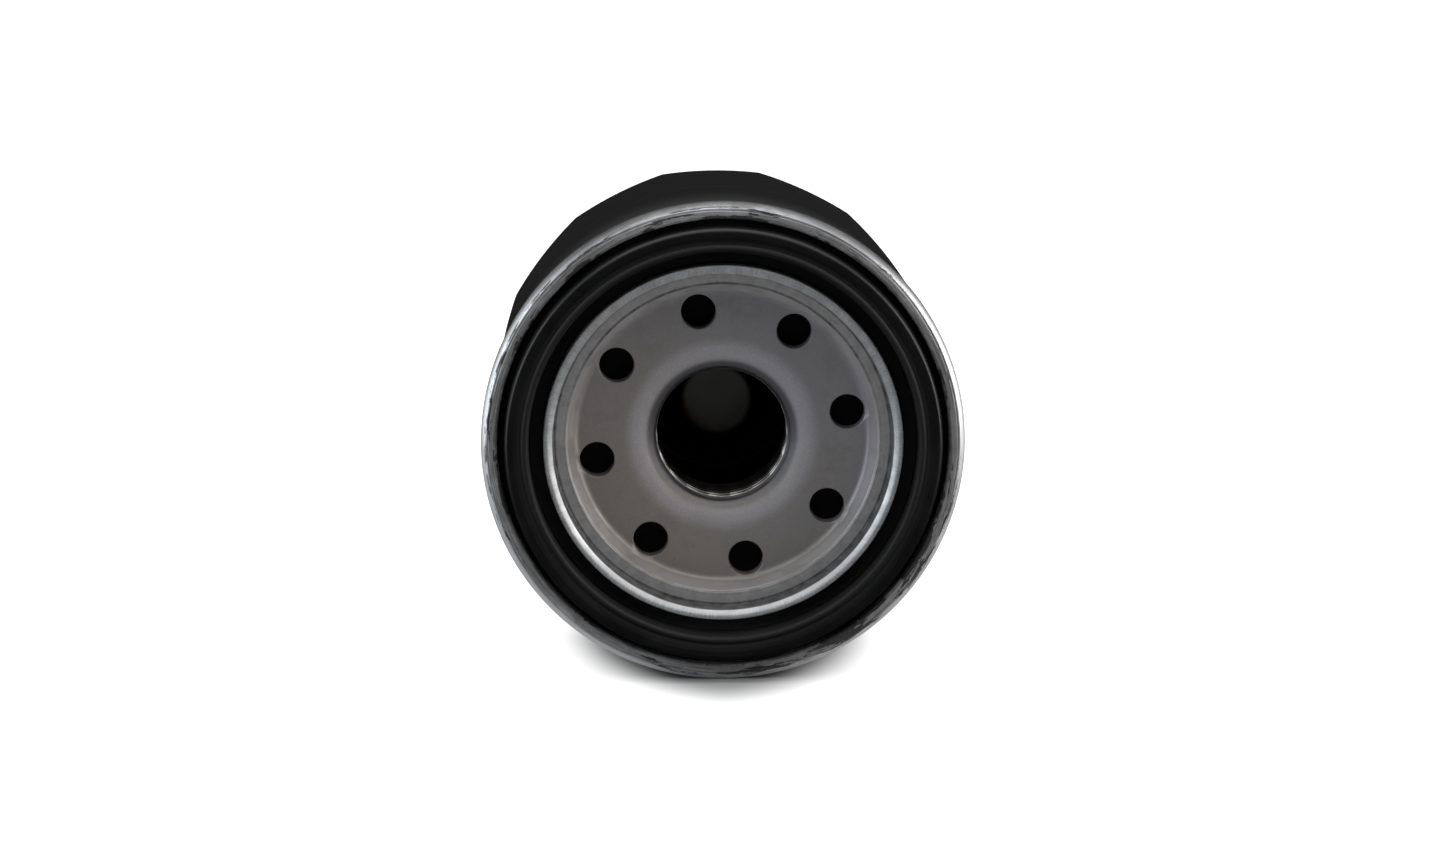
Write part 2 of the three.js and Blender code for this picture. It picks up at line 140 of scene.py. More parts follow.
# the painted shadow on the floor under the filter
SHADE_HALF_WIDTH = 21.5
SHADE_HALF_LENGTH = 42
SHADE_POWER = 1.65
SHADE_EDGE = (0.7, 1.17)

GASKET_SHOULDER = 31
GASKET_CREST = 29.75
BEAD_MIDDLE = 28.2
BEAD_RADIUS = 0.58

FLOOR_HALF = 5
DOME_RADIUS = 4.2

CAMERA_DISTANCE = 0.6
CAMERA_SHIFT = (-0.0002, 0.00306, 0)
CAMERA_ELEVATION = 10.34
CAMERA_AZIMUTH = -1.63
CAMERA_LENS = 105.9

FINE = 224
MEDIUM = 112
CREASE = math.radians(35)


# ---- meshes --------------------------------------------------------------------------------------

def rounded(corners, step=math.radians(12)):
    """A closed outline of (radius, depth, corner radius) with an arc at each corner, as an array."""
    outline = []
    count = len(corners)
    for index, corner in enumerate(corners):
        here = np.array(corner[:2], float)
        size = corner[2] if len(corner) > 2 else 0
        back = np.array(corners[index - 1][:2], float) - here
        ahead = np.array(corners[(index + 1) % count][:2], float) - here
        back_length, ahead_length = np.linalg.norm(back), np.linalg.norm(ahead)
        back, ahead = back / back_length, ahead / ahead_length
        half = math.acos(max(-1, min(1, float(back @ ahead)))) / 2
        if size <= 0 or half > math.pi / 2 - 0.01:
            outline.append(here)
            continue
        tangent = min(size / math.tan(half), 0.49 * back_length, 0.49 * ahead_length)
        size = tangent * math.tan(half)
        middle = (back + ahead) / np.linalg.norm(back + ahead)
        centre = here + middle * size / math.sin(half)
        sweep = math.pi - 2 * half
        pieces = max(2, math.ceil(sweep / step))
        start = here + back * tangent - centre
        side = math.copysign(1, back[1] * ahead[0] - back[0] * ahead[1])
        for piece in range(pieces + 1):
            angle = side * sweep * piece / pieces
            turn = np.array([[math.cos(angle), -math.sin(angle)], [math.sin(angle), math.cos(angle)]])
            outline.append(centre + turn @ start)
    return np.array(outline)


def finish_mesh(name, vertices, faces):
    """A mesh in metres from vertices in millimetres, with smooth faces and sharp creases."""
    mesh = bpy.data.meshes.new(name)
    mesh.from_pydata((np.asarray(vertices) * MM).tolist(), [], faces)
    bm = bmesh.new()
    bm.from_mesh(mesh)
    bmesh.ops.remove_doubles(bm, verts=bm.verts, dist=1e-7)
    loose = [edge for edge in bm.edges if edge.is_wire]
    bmesh.ops.delete(bm, geom=loose, context="EDGES")
    if bm.calc_volume(signed=True) < 0:
        bmesh.ops.reverse_faces(bm, faces=bm.faces)
    bm.to_mesh(mesh)
    bm.free()
    mesh.shade_smooth()
    mesh.set_sharp_from_angle(angle=CREASE)
    return mesh


def loft(rings, close_rings):
    """Quads between neighbouring rings of the same length, each ring closed on itself."""
    count, size = rings.shape[:2]
    faces = []
    for i in range(count if close_rings else count - 1):
        for j in range(size):
            a = i * size + j
            b = i * size + (j + 1) % size
            c = ((i + 1) % count) * size + (j + 1) % size
            d = ((i + 1) % count) * size + j
            faces.append((a, b, c, d))
    return faces


def lathe(name, outline, segments=MEDIUM, warp=None):
    """The outline turned about the filter's axis. warp moves (radius, depth) by the angle from +X."""
    angles = np.linspace(0, 2 * math.pi, segments, endpoint=False)[:, None]
    radius = np.repeat(outline[None, :, 0], segments, 0)
    depth = np.repeat(outline[None, :, 1], segments, 0)
    if warp:
        radius, depth = warp(radius, depth, angles)
    points = np.stack([radius * np.cos(angles), depth, radius * np.sin(angles)], -1)
    return finish_mesh(name, points.reshape(-1, 3), loft(points, True))


def ring_outline(inner, outer, front, back, edge):
    """A ring's rectangular section with rounded corners."""
    return rounded([(inner, front, edge), (outer, front, edge), (outer, back, edge), (inner, back, edge)])


def coil_mesh(name, radius, wire, front, back, turns, closed=0.9, sides=14, per_turn=56):
    """A right-handed coil spring whose end turns close up and lie flat."""
    steps = int(turns * per_turn)
    turn = np.linspace(0, turns, steps + 1)
    rise = np.interp(turn, [0, closed, turns - closed, turns], [0, 0.12, 0.88, 1])
    kernel = np.ones(per_turn // 3) / (per_turn // 3)
    padded = np.pad(rise, per_turn // 6, mode="edge")
    rise = np.convolve(padded, kernel, "same")[per_turn // 6 : per_turn // 6 + steps + 1]
    rise = (rise - rise.min()) / (rise.max() - rise.min())
    angle = 2 * math.pi * turn
    centre_depth = front + wire / 2 + rise * (back - front - wire)
    around = np.linspace(0, 2 * math.pi, sides, endpoint=False)
    ring_radius = radius + wire / 2 * np.cos(around)[None, :]
    ring_depth = centre_depth[:, None] + wire / 2 * np.sin(around)[None, :]
    points = np.stack(
        [ring_radius * np.cos(angle)[:, None], ring_depth, ring_radius * np.sin(angle)[:, None]], -1
    )
    faces = loft(points, False)
    faces.append(tuple(range(sides)))
    faces.append(tuple(range(steps * sides, (steps + 1) * sides)))
    return finish_mesh(name, points.reshape(-1, 3), faces)


def joined(name, meshes):
    """Several meshes in one, to cut with in a single boolean."""
    bm = bmesh.new()
    for mesh in meshes:
        bm.from_mesh(mesh)
    whole = bpy.data.meshes.new(name)
    bm.to_mesh(whole)
    bm.free()
    return whole


def cut(mesh, cutter):
    """The mesh with the cutter's shape taken away."""
    body = bpy.data.objects.new("cut_body", mesh)
    tool = bpy.data.objects.new("cut_tool", cutter)
    for item in (body, tool):
        bpy.context.scene.collection.objects.link(item)
    boolean = body.modifiers.new("cut", "BOOLEAN")
    boolean.operation = "DIFFERENCE"
    boolean.solver = "EXACT"
    boolean.object = tool
    bpy.context.view_layer.update()
    graph = bpy.context.evaluated_depsgraph_get()
    result = bpy.data.meshes.new_from_object(body.evaluated_get(graph))
    result.name = mesh.name
    for item in (body, tool):
        bpy.data.objects.remove(item)
    result.shade_smooth()
    result.set_sharp_from_angle(angle=CREASE)
    return result


def smooth_step(value, low, high):
    share = np.clip((value - low) / (high - low), 0, 1)
    return share * share * (3 - 2 * share)


def smooth_minimum(a, b, softness):
    return -softness * np.logaddexp(-a / softness, -b / softness)


# ---- materials -----------------------------------------------------------------------------------

class Surface:
    """A Principled material made of procedural nodes, which count in millimetres."""

    def __init__(self, name, **plain):
        self.material = bpy.data.materials.new(name)
        self.material.use_nodes = True
        self.tree = self.material.node_tree
        self.shader = next(n for n in self.tree.nodes if n.type == "BSDF_PRINCIPLED")
        for socket, value in plain.items():
            self.shader.inputs[socket.replace("_", " ")].default_value = value
        texture = self.tree.nodes.new("ShaderNodeTexCoord")
        scaled = self.node("VectorMath", texture.outputs["Object"], operation="SCALE")
        scaled.inputs["Scale"].default_value = 1 / MM
        self.point = scaled.outputs[0]
        split = self.node("SeparateXYZ", self.point)
        self.x, self.depth, self.z = split.outputs
        squares = self.plus(self.times(self.x, self.x), self.times(self.z, self.z))
        self.radius = self.math("SQRT", squares)

    def node(self, kind, *inputs, **settings):
        node = self.tree.nodes.new("ShaderNode" + kind)
        for name, value in settings.items():
            setattr(node, name, value)
        for socket, value in zip(node.inputs, inputs):
            self.feed(socket, value)
        return node

    def feed(self, socket, value):
        if isinstance(value, bpy.types.NodeSocket):
            self.tree.links.new(value, socket)
        elif value is not None:
            socket.default_value = value

    def math(self, operation, *inputs):
        return self.node("Math", *inputs, operation=operation).outputs[0]

    def times(self, a, b):
        return self.math("MULTIPLY", a, b)

    def plus(self, a, b):
        return self.math("ADD", a, b)

    def vector(self, x, y, z):
        return self.node("CombineXYZ", x, y, z).outputs[0]

    def noise(self, vector, scale, detail=3, roughness=0.55):
        node = self.node("TexNoise", vector)
        node.inputs["Scale"].default_value = scale
        node.inputs["Detail"].default_value = detail
        node.inputs["Roughness"].default_value = roughness
        return node.outputs["Fac"]

    def ramp(self, value, low, high, start=0.0, end=1.0):
        node = self.node("MapRange", value, interpolation_type="SMOOTHSTEP")
        for index, number in enumerate((low, high, start, end), 1):
            node.inputs[index].default_value = number
        return node.outputs[0]

    def mix(self, factor, a, b):
        node = self.node("Mix", data_type="RGBA")
        for name, value in (("Factor", factor), ("A", a), ("B", b)):
            sockets = [s for s in node.inputs if s.name == name and s.enabled]
            if isinstance(value, tuple) and len(value) == 3:
                value = (*value, 1.0)
            self.feed(sockets[0], value)
        return next(s for s in node.outputs if s.enabled)

    def spread(self, across, along):
        """A vector for streaks round the axis: fine across the radius and depth, long round the ring."""
        safe = self.math("MAXIMUM", self.radius, 0.01)
        turn_x = self.times(self.math("DIVIDE", self.x, safe), along)
        turn_z = self.times(self.math("DIVIDE", self.z, safe), along)
        return self.vector(turn_x, turn_z, self.times(self.plus(self.radius, self.depth), across))

    def relief(self, height, distance):
        node = self.node("Bump")
        node.inputs["Strength"].default_value = 1.0
        node.inputs["Distance"].default_value = distance * MM
        self.feed(node.inputs["Height"], height)
        return node.outputs[0]

    def finish(self, colour=None, roughness=None, metallic=None, normal=None):
        for name, value in (
            ("Base Color", colour), ("Roughness", roughness), ("Metallic", metallic), ("Normal", normal)
        ):
            if value is not None:
                self.feed(self.shader.inputs[name], value)
        return self.material


def black_paint():
    """Satin black enamel, thinning to the tinned sheet next to the seam."""
    s = Surface("black_paint", Specular_IOR_Level=0.31)
    cloud = s.noise(s.point, 0.12, 4)
    grain = s.noise(s.point, 3.5, 2)
    edge = s.plus(s.depth, s.times(cloud, 2.0))
    bare = s.ramp(edge, 27.0, 5.0, 0, 0.08)
    streak = s.noise(s.spread(9, 5), 1, 3)
    paint = s.mix(cloud, (0.0028, 0.0028, 0.003), (0.0044, 0.0044, 0.0046))
    metal = s.mix(streak, (0.28, 0.285, 0.29), (0.42, 0.425, 0.43))
    colour = s.mix(bare, paint, metal)
    roughness = s.plus(s.ramp(cloud, 0.3, 0.7, 0.3, 0.36), s.times(grain, 0.06))
    return s.finish(colour, roughness, s.times(bare, 0.9), s.relief(grain, 0.003))


def lid_tinplate():
    """Rolled tinplate: streaks round the seam, radial grain on the collar, worn paint on the seam, with
    painted shade in its creases and painted highlights on the collar's wall and the seam's outer corner.
    """
    s = Surface("lid_tinplate")
    streak = s.ramp(s.noise(s.spread(7, 6), 1, 4), 0.34, 0.66)
    fine_streak = s.noise(s.spread(22, 10), 1, 2)
    radial = s.noise(s.spread(1.6, 190), 1, 5, 0.7)
    worn = s.plus(s.ramp(s.noise(s.spread(0.35, 2.6), 1, 3), 0.5, 0.64), s.ramp(s.z, 10, -25, 0, 0.35))
    mottle = s.noise(s.point, 0.55, 5, 0.65)
    grain = s.noise(s.point, 6, 3)
    speck = s.ramp(s.noise(s.point, 3.2, 3), 0.68, 0.74)
    seam = s.ramp(s.radius, 31.6, 32)
    collar = s.times(s.ramp(s.radius, 26.5, 26), s.ramp(s.radius, 24.1, 24.5))
    tin = s.mix(streak, (0.28, 0.285, 0.295), (0.46, 0.465, 0.48))
    tin = s.mix(s.times(worn, 0.7), tin, (0.66, 0.67, 0.69))
    rolled = s.mix(s.ramp(radial, 0.35, 0.65), (0.36, 0.375, 0.39), (0.56, 0.575, 0.59))
    tin = s.mix(collar, tin, rolled)
    flange = s.ramp(s.radius, 24.3, 24.1)
    tin = s.mix(s.times(flange, 0.9), tin, s.mix(radial, (0.42, 0.415, 0.42), (0.56, 0.555, 0.56)))
    tin = s.mix(s.ramp(mottle, 0.35, 0.62, 0.35, 0), tin, (0.16, 0.155, 0.15))
    # painted shade in the crease at the collar's foot, and a painted shadow along the flange's edge,
    # strongest on top
    crease = s.times(s.ramp(s.radius, 23.65, 23.9), s.ramp(s.radius, 24.35, 24.15))
    edge = s.ramp(s.radius, FLANGE_RADIUS + 0.55, FLANGE_RADIUS + 0.25)
    edge = s.times(edge, s.ramp(s.z, 0, 14, 0.25, 1))
    painted_crease_shade = s.times(s.math("MAXIMUM", crease, edge), s.ramp(mottle, 0.3, 0.6, 0.95, 0.8))
    # painted light: the collar's wall is painted lighter low down, and the seam's outer corner gets a
    # painted highlight except on top
    wall = s.times(s.ramp(s.radius, 24.2, 24.35), s.ramp(s.radius, 24.9, 24.7))
    tin = s.mix(s.times(wall, s.ramp(s.z, 12, -12, 0, 0.6)), tin, (0.56, 0.56, 0.56))
    corner = s.times(s.ramp(s.radius, 33.4, 33.8), s.ramp(s.z, 30, 18, 0, 0.9))
    tin = s.mix(corner, tin, (0.86, 0.87, 0.89))
    # inside its crease the seam's face is a little duller
    inner_band = s.times(s.ramp(s.radius, 33.35, 33.2), seam)
    tin = s.mix(s.times(inner_band, s.ramp(streak, 0.3, 0.6, 0.5, 0.15)), tin, (0.16, 0.152, 0.14))
    # a painted shade line along the seam's crease
    crease_shade_line = s.times(s.ramp(s.radius, 33.15, 33.25), s.ramp(s.radius, 33.45, 33.35))
    # black overspray on the seam's side
    start = s.plus(s.plus(s.depth, s.times(grain, 0.5)), s.ramp(s.z, 0, 24, -1, 0))
    spray = s.plus(s.ramp(start, 1.85, 3.2, 0, 0.76), s.ramp(start, 3.2, 5.8, 0, 0.2))
    spray = s.times(spray, s.ramp(s.radius, 33.45, 34.1))
    # paint left on the seam's front face, most of it low on the right and some on the left
    low_right = s.plus(s.times(s.x, 0.02), s.times(s.z, -0.02))
    left = s.plus(s.times(s.x, -0.018), s.times(s.z, 0.016))
    patch = s.noise(s.spread(1.3, 5.5), 1, 5, 0.62)
    patch = s.plus(patch, s.times(s.math("MAXIMUM", left, low_right), 0.16))
    face = s.times(s.ramp(s.radius, 34.1, 33.7), seam)
    chip = s.times(s.times(s.ramp(patch, 0.65, 0.665), face), 0.93)
    dark = s.math("MAXIMUM", s.math("MAXIMUM", chip, spray), s.times(s.times(speck, seam), 0.6))
    dark = s.math("MAXIMUM", dark, s.math("MAXIMUM", painted_crease_shade, s.times(s.times(crease_shade_line, seam), 0.5)))
    colour = s.mix(dark, tin, (0.012, 0.012, 0.012))
    roughness = s.plus(s.ramp(mottle, 0.3, 0.7, 0.46, 0.34), s.times(fine_streak, 0.08))
    height = s.plus(s.times(fine_streak, seam), s.times(radial, collar))
    normal = s.relief(s.plus(height, s.times(chip, -0.8)), 0.01)
    return s.finish(colour, roughness, s.ramp(dark, 0, 1, 0.72, 0.2), normal)


def bare_steel():
    """Bare pressed steel, dull grey with oil stains and fine pits, with a painted sheen round the neck's
    entry, painted shade in its throat and bore, and painted glints on the first thread crests.
    """
    s = Surface("bare_steel")
    cloud = s.noise(s.point, 0.09, 4, 0.6)
    stain = s.noise(s.point, 0.22, 5, 0.6)
    grain = s.noise(s.point, 9, 2)
    sand = s.noise(s.point, 5, 3, 0.6)
    pit = s.ramp(s.noise(s.point, 1.4, 4, 0.7), 0.7, 0.75)
    # brownish low on the left, bluish high on the right
    side = s.plus(s.plus(s.times(s.x, 0.02), s.times(s.z, 0.02)), s.ramp(cloud, 0.2, 0.8, -0.25, 0.25))
    steel = s.mix(s.ramp(side, -0.5, 0.5), (0.205, 0.19, 0.166), (0.2, 0.194, 0.21))
    steel = s.mix(s.ramp(s.z, -4, 20, 0, 0.15), steel, (0.11, 0.107, 0.108))
    steel = s.mix(s.ramp(s.radius, 20.7, 21.6, 0, 0.55), steel, (0.4, 0.39, 0.39))
    steel = s.mix(s.ramp(stain, 0.5, 0.68, 0, 0.4), steel, (0.13, 0.122, 0.11))
    steel = s.mix(s.ramp(sand, 0.3, 0.7, 0, 0.25), steel, (0.3, 0.295, 0.3))
    steel = s.mix(s.times(pit, 0.9), steel, (0.04, 0.038, 0.036))
    # painted sheen: a lighter band round the neck's rounded entry, with sparkle
    entry_sheen = s.times(s.ramp(s.radius, 14.6, 12.3), s.ramp(s.radius, 10.4, 11.6))
    colour = s.mix(s.times(entry_sheen, s.ramp(sand, 0.4, 0.7, 0.38, 0.58)), steel, (0.42, 0.41, 0.44))
    # painted shade in the throat, strongest on top
    throat_shade = s.times(s.ramp(s.radius, 11.1, 10.4), s.ramp(s.z, -9, -3, 0.35, 1))
    colour = s.mix(throat_shade, colour, (0.085, 0.082, 0.09))
    # painted glints: bright crests on the first turns of the thread; deeper in, the bore is painted
    # nearly black, painted shade
    crest_glint = s.times(s.ramp(s.radius, 9.5, 9.36), s.ramp(s.depth, 15, 12))
    bore = s.ramp(s.radius, 9.95, 9.8)
    flank = s.mix(s.ramp(s.depth, 13, 10.5), (0.012, 0.011, 0.01), (0.11, 0.106, 0.112))
    colour = s.mix(bore, colour, s.mix(crest_glint, flank, (0.66, 0.64, 0.6)))
    roughness = s.plus(s.ramp(stain, 0.35, 0.65, 0.4, 0.5), s.times(grain, 0.08))
    roughness = s.math("SUBTRACT", roughness, s.times(crest_glint, 0.14))
    metallic = s.plus(s.times(s.math("MAXIMUM", bore, crest_glint), 0.4), 0.55)
    uneven = s.plus(s.times(grain, 0.5), s.times(s.noise(s.point, 1.1, 3), 1.2))
    height = s.times(uneven, s.ramp(s.radius, 9.5, 11, 0.15, 1))
    return s.finish(colour, roughness, metallic, s.relief(height, 0.006))


def plain_tin(name="inner_tinplate", tone=0.5, edge=None):
    """Tinplate for the pieces inside the can. Outside the edge radius it is painted nearly black, painted
    shade, and it is browner low on the left.
    """
    s = Surface(name)
    cloud = s.noise(s.point, 0.3, 4)
    grain = s.noise(s.point, 8, 2)
    light = tuple(tone * part for part in (1.06, 1.08, 1.0))
    dark = tuple(tone * part for part in (0.77, 0.78, 0.7))
    colour = s.mix(cloud, dark, light)
    if edge:
        low_left = s.plus(s.times(s.x, -0.7), s.times(s.z, -0.7))
        colour = s.mix(s.ramp(low_left, 0.55 * edge, edge, 0, 0.8), colour, (0.3, 0.16, 0.04))
        # painted shade: nearly black outside the edge radius
        colour = s.mix(s.ramp(s.radius, edge - 0.9, edge + 0.5), colour, (0.02, 0.017, 0.01))
    roughness = s.plus(s.ramp(cloud, 0.3, 0.7, 0.26, 0.4), s.times(grain, 0.06))
    return s.finish(colour, roughness, 0.95, s.relief(grain, 0.004))


def spring_wire():
    """Drawn spring wire with fine marks along it."""
    s = Surface("spring_wire")
    mark = s.noise(s.point, 2.5, 4, 0.65)
    colour = s.mix(mark, (0.24, 0.235, 0.22), (0.42, 0.42, 0.41))
    return s.finish(colour, s.ramp(mark, 0.3, 0.7, 0.25, 0.42), 0.95, s.relief(mark, 0.006))


def black_rubber():
    """Moulded nitrile rubber: satin black, slightly mottled, with a few specks of dust."""
    s = Surface("black_rubber", Specular_IOR_Level=0.5)
    cloud = s.noise(s.point, 0.18, 3)
    grain = s.noise(s.point, 5, 3)
    dust = s.ramp(s.noise(s.point, 1.6, 2), 0.775, 0.8)
    rubber = s.mix(cloud, (0.0008, 0.0008, 0.0009), (0.0016, 0.0016, 0.0018))
    colour = s.mix(s.times(dust, 0.5), rubber, (0.1, 0.1, 0.1))
    roughness = s.plus(s.ramp(cloud, 0.3, 0.7, 0.33, 0.41), s.times(grain, 0.1))
    roughness = s.plus(roughness, s.ramp(s.radius, 29.4, 28.9, 0, 0.26))
    return s.finish(colour, roughness, None, s.relief(grain, 0.008))


def filter_paper():
    """Resin-treated filter paper: amber, fibrous, darker in places."""
    s = Surface("filter_paper", Specular_IOR_Level=0.25)
    fibre = s.noise(s.vector(s.times(s.x, 2.2), s.times(s.depth, 0.5), s.times(s.z, 2.2)), 1, 5, 0.65)
    cloud = s.noise(s.point, 0.15, 3)
    colour = s.mix(fibre, (0.46, 0.25, 0.085), (0.66, 0.4, 0.16))
    colour = s.mix(s.times(cloud, 0.35), colour, (0.36, 0.19, 0.06))
    return s.finish(colour, s.ramp(fibre, 0.3, 0.7, 0.75, 0.92), None, s.relief(fibre, 0.04))


def plastisol():
    """Dark green cured plastisol with a slightly uneven, waxy surface."""
    s = Surface("plastisol")
    cloud = s.noise(s.point, 0.4, 4)
    colour = s.mix(cloud, (0.018, 0.03, 0.016), (0.035, 0.055, 0.03))
    return s.finish(colour, s.ramp(cloud, 0.3, 0.7, 0.45, 0.65), None, s.relief(cloud, 0.05))


def seam_compound_finish():
    """Pale sealing compound."""
    s = Surface("sealing_compound")
    cloud = s.noise(s.point, 1.2, 4)
    colour = s.mix(cloud, (0.28, 0.27, 0.23), (0.38, 0.37, 0.33))
    return s.finish(colour, s.ramp(cloud, 0.3, 0.7, 0.6, 0.8), None, s.relief(cloud, 0.03))


# ---- pieces --------------------------------------------------------------------------------------

def add_piece(node, mesh, finish, body):
    piece = bpy.data.objects.new(node + "_model", mesh)
    bpy.context.scene.collection.objects.link(piece)
    mesh.materials.clear()
    mesh.materials.append(finish)
    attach(piece, body)
    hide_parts(node)
    return piece


def press_flutes(radius, depth, angles):
    """Crowned flats pressed into the can's closed end, one nearly on top, fading out over the dome."""
    from_top = angles - math.pi / 2 - FLUTE_TURN
    offset = from_top - 2 * FLUTE_HALF * np.round(from_top / (2 * FLUTE_HALF))
    centre = FLUTE_CROWN - FLUTE_CURVE
    crowned = centre * np.cos(offset) + np.sqrt(FLUTE_CURVE**2 - (centre * np.sin(offset)) ** 2)
    softened = smooth_minimum(crowned, FLUTE_VERTEX, FLUTE_SOFTNESS)
    along = smooth_step(depth, FLUTE_START, FLUTE_FULL)
    across = smooth_step(radius, *FLUTE_FADE)
    return radius * (1 + (softened / CAN_RADIUS - 1) * along * across), depth


def can_skin(inset):
    """One side of the can's sheet from the seam to the rim of the end recess."""
    wall = CAN_RADIUS - inset
    end = CAN_BACK - inset
    step = [(wall, depth, 0) for depth in np.arange(FLUTE_START - 1, FLUTE_FULL + 2, 0.5)]
    recess = RECESS_RADIUS + 0.4 * inset
    return [
        (wall, SEAM_BACK + 1.7, 2),
        *step,
        (wall, end, CORNER_RADIUS - inset),
        (recess, end, 1.2),
        (recess - 1.4, end - RECESS_DEPTH, 1.2),
    ]


def add_canister():
    hook_inner = HOOK_RADIUS - CAN_SHEET
    hook_back = SEAM_BACK - LID_SHEET - 0.05
    inner = NECK_IN_RADIUS - CAN_SHEET
    corners = [
        (hook_inner, hook_back, 0.1),
        (HOOK_RADIUS, hook_back, 0.1),
        (HOOK_RADIUS, HOOK_FRONT, 0.4),
        (inner, HOOK_FRONT, 0.4),
        (inner, SEAM_BACK, 1),
        *can_skin(CAN_SHEET),
        (0, CAN_BACK - CAN_SHEET - RECESS_DEPTH, 0),
        (0, CAN_BACK - RECESS_DEPTH, 0),
        *reversed(can_skin(0)),
        (NECK_IN_RADIUS, SEAM_BACK, 1),
        (NECK_IN_RADIUS, HOOK_FRONT + CAN_SHEET, 0.1),
        (hook_inner, HOOK_FRONT + CAN_SHEET, 0.1),
    ]
    mesh = lathe("canister_model", rounded(corners), FLUTE_STEPS * FLUTES, press_flutes)
    return add_piece("canister", mesh, black_paint(), "housing")


def add_seaming_lid():
    hook_outer = HOOK_RADIUS - CAN_SHEET - 0.03
    hook_inner = NECK_IN_RADIUS + 0.03
    hook_front = 3.4
    under = SEAM_FRONT + LID_SHEET
    groove = COLLAR_INNER + LID_SHEET
    corners = [
        (FLANGE_RADIUS, LID_FLOOR, 0.12),
        (FLANGE_RADIUS, LID_BACK, 0.08),
        (groove, LID_BACK, 0.4),
        (groove, under, 0.2),
        (COLLAR_OUTER - LID_SHEET, under, 0.2),
        (COLLAR_OUTER - LID_SHEET, LID_BACK, 0.4),
        (LID_WALL + LID_SHEET, LID_BACK, 0.7),
        (LID_WALL + LID_SHEET, under, 0.2),
        (SEAM_RADIUS - LID_SHEET, under, 0.45),
        (SEAM_RADIUS - LID_SHEET, SEAM_BACK - LID_SHEET, 0.1),
        (hook_outer, SEAM_BACK - LID_SHEET, 0.1),
        (hook_outer, hook_front, 0.12),
        (hook_inner, hook_front, 0.12),
        (hook_inner, SEAM_BACK, 0.45),
        (SEAM_RADIUS, SEAM_BACK, 0.6),
        (SEAM_RADIUS, SEAM_FRONT + 0.75, 0.9),
        (SEAM_CREASE + 0.25, SEAM_FRONT + 0.06, 0.35),
        (SEAM_CREASE, SEAM_FRONT + 0.11, 0.05),
        (SEAM_CREASE - 0.12, SEAM_FRONT + 0.02, 0.15),
        (LID_WALL, SEAM_FRONT, 0.5),
        (LID_WALL, LID_FLOOR, 0.5),
        (COLLAR_OUTER, LID_FLOOR, 0.5),
        (COLLAR_OUTER, SEAM_FRONT, 0.5),
        (COLLAR_OUTER - 0.55, SEAM_FRONT + 0.03, 0.5),
        (COLLAR_INNER, SEAM_FRONT + 0.55, 0.45),
        (COLLAR_INNER, LID_FLOOR, 0.12),
    ]
    mesh = lathe("seaming_lid_model", rounded(corners), FINE)
    return add_piece("seaming_lid", mesh, lid_tinplate(), "housing")


def add_seam_compound():
    outline = ring_outline(COMPOUND_RADIUS - 0.9, COMPOUND_RADIUS, COMPOUND_FRONT, COMPOUND_BACK, 0.08)
    mesh = lathe("seam_compound_model", outline)
    return add_piece("seam_compound", mesh, seam_compound_finish(), "housing")


def add_gasket(rubber):
    """A rubber ring with a raised sealing lip: a broad shoulder, a shallow slope and a narrow bead."""
    inner = COLLAR_OUTER + 0.1
    shelf = GASKET_BACK - 1.2
    bead = [
        (BEAD_MIDDLE + BEAD_RADIUS * math.sin(turn), GASKET_FRONT + BEAD_RADIUS * (1 - math.cos(turn)), 0)
        for turn in np.radians(np.linspace(60, -88, 15))
    ]
    corners = [
        (inner, GASKET_BACK, 0.3),
        (GASKET_RADIUS, GASKET_BACK, 0.3),
        (GASKET_RADIUS, 3.8, 0.5),
        (GASKET_SHOULDER + 0.1, 3.2, 0.4),
        (GASKET_SHOULDER, GASKET_FRONT, 1.5),
        (GASKET_CREST, GASKET_FRONT, 0.5),
        (GASKET_CREST - 0.95, GASKET_FRONT + 0.29, 0),
        *bead,
        (BEAD_MIDDLE - BEAD_RADIUS, shelf, 0.5),
        (inner, shelf, 0.3),
    ]
    mesh = lathe("sealing_gasket_model", rounded(corners, math.radians(8)), FINE)
    return add_piece("sealing_gasket", mesh, rubber, "housing")


def bore_rows():
    """Rows down the neck's bore, from its back end to the plate's face, to carry the thread."""
    rows = np.arange(NECK_BACK - 0.35, PLATE_FACE + 1.2, -THREAD_PITCH / 18)
    turn = np.radians(np.arange(54, 3, -3))
    close = [PLATE_FACE + depth for depth in NECK_ENTRY * (1 - np.cos(turn)) if depth < 1.15]
    return [(THREAD_MAJOR, depth, 0) for depth in [*rows, *close, PLATE_FACE + 0.004]]


def cut_bore(radius, depth, angles):
    """A right-handed 60 degree thread in the bore, running out into the rounded entry and at the back."""
    turn = (depth / THREAD_PITCH + angles / (2 * math.pi)) % 1
    flank = np.abs(turn - 0.5) * 2
    groove = np.clip((flank - 0.125) / 0.75, 0, 1)
    run_out = np.clip((NECK_BACK - 0.3 - depth) / 0.5, 0, 1)
    threaded = THREAD_MINOR + (THREAD_MAJOR - THREAD_MINOR) * groove * run_out
    share = np.clip((PLATE_FACE + NECK_ENTRY - depth) / NECK_ENTRY, 0, 1)
    width = ENTRY_RADIUS - THREAD_MINOR
    entry = ENTRY_RADIUS - width * np.sqrt(1 - share * share)
    on_bore = np.abs(radius - THREAD_MAJOR) < 1e-6
    return np.where(on_bore, np.maximum(threaded, entry), radius), depth


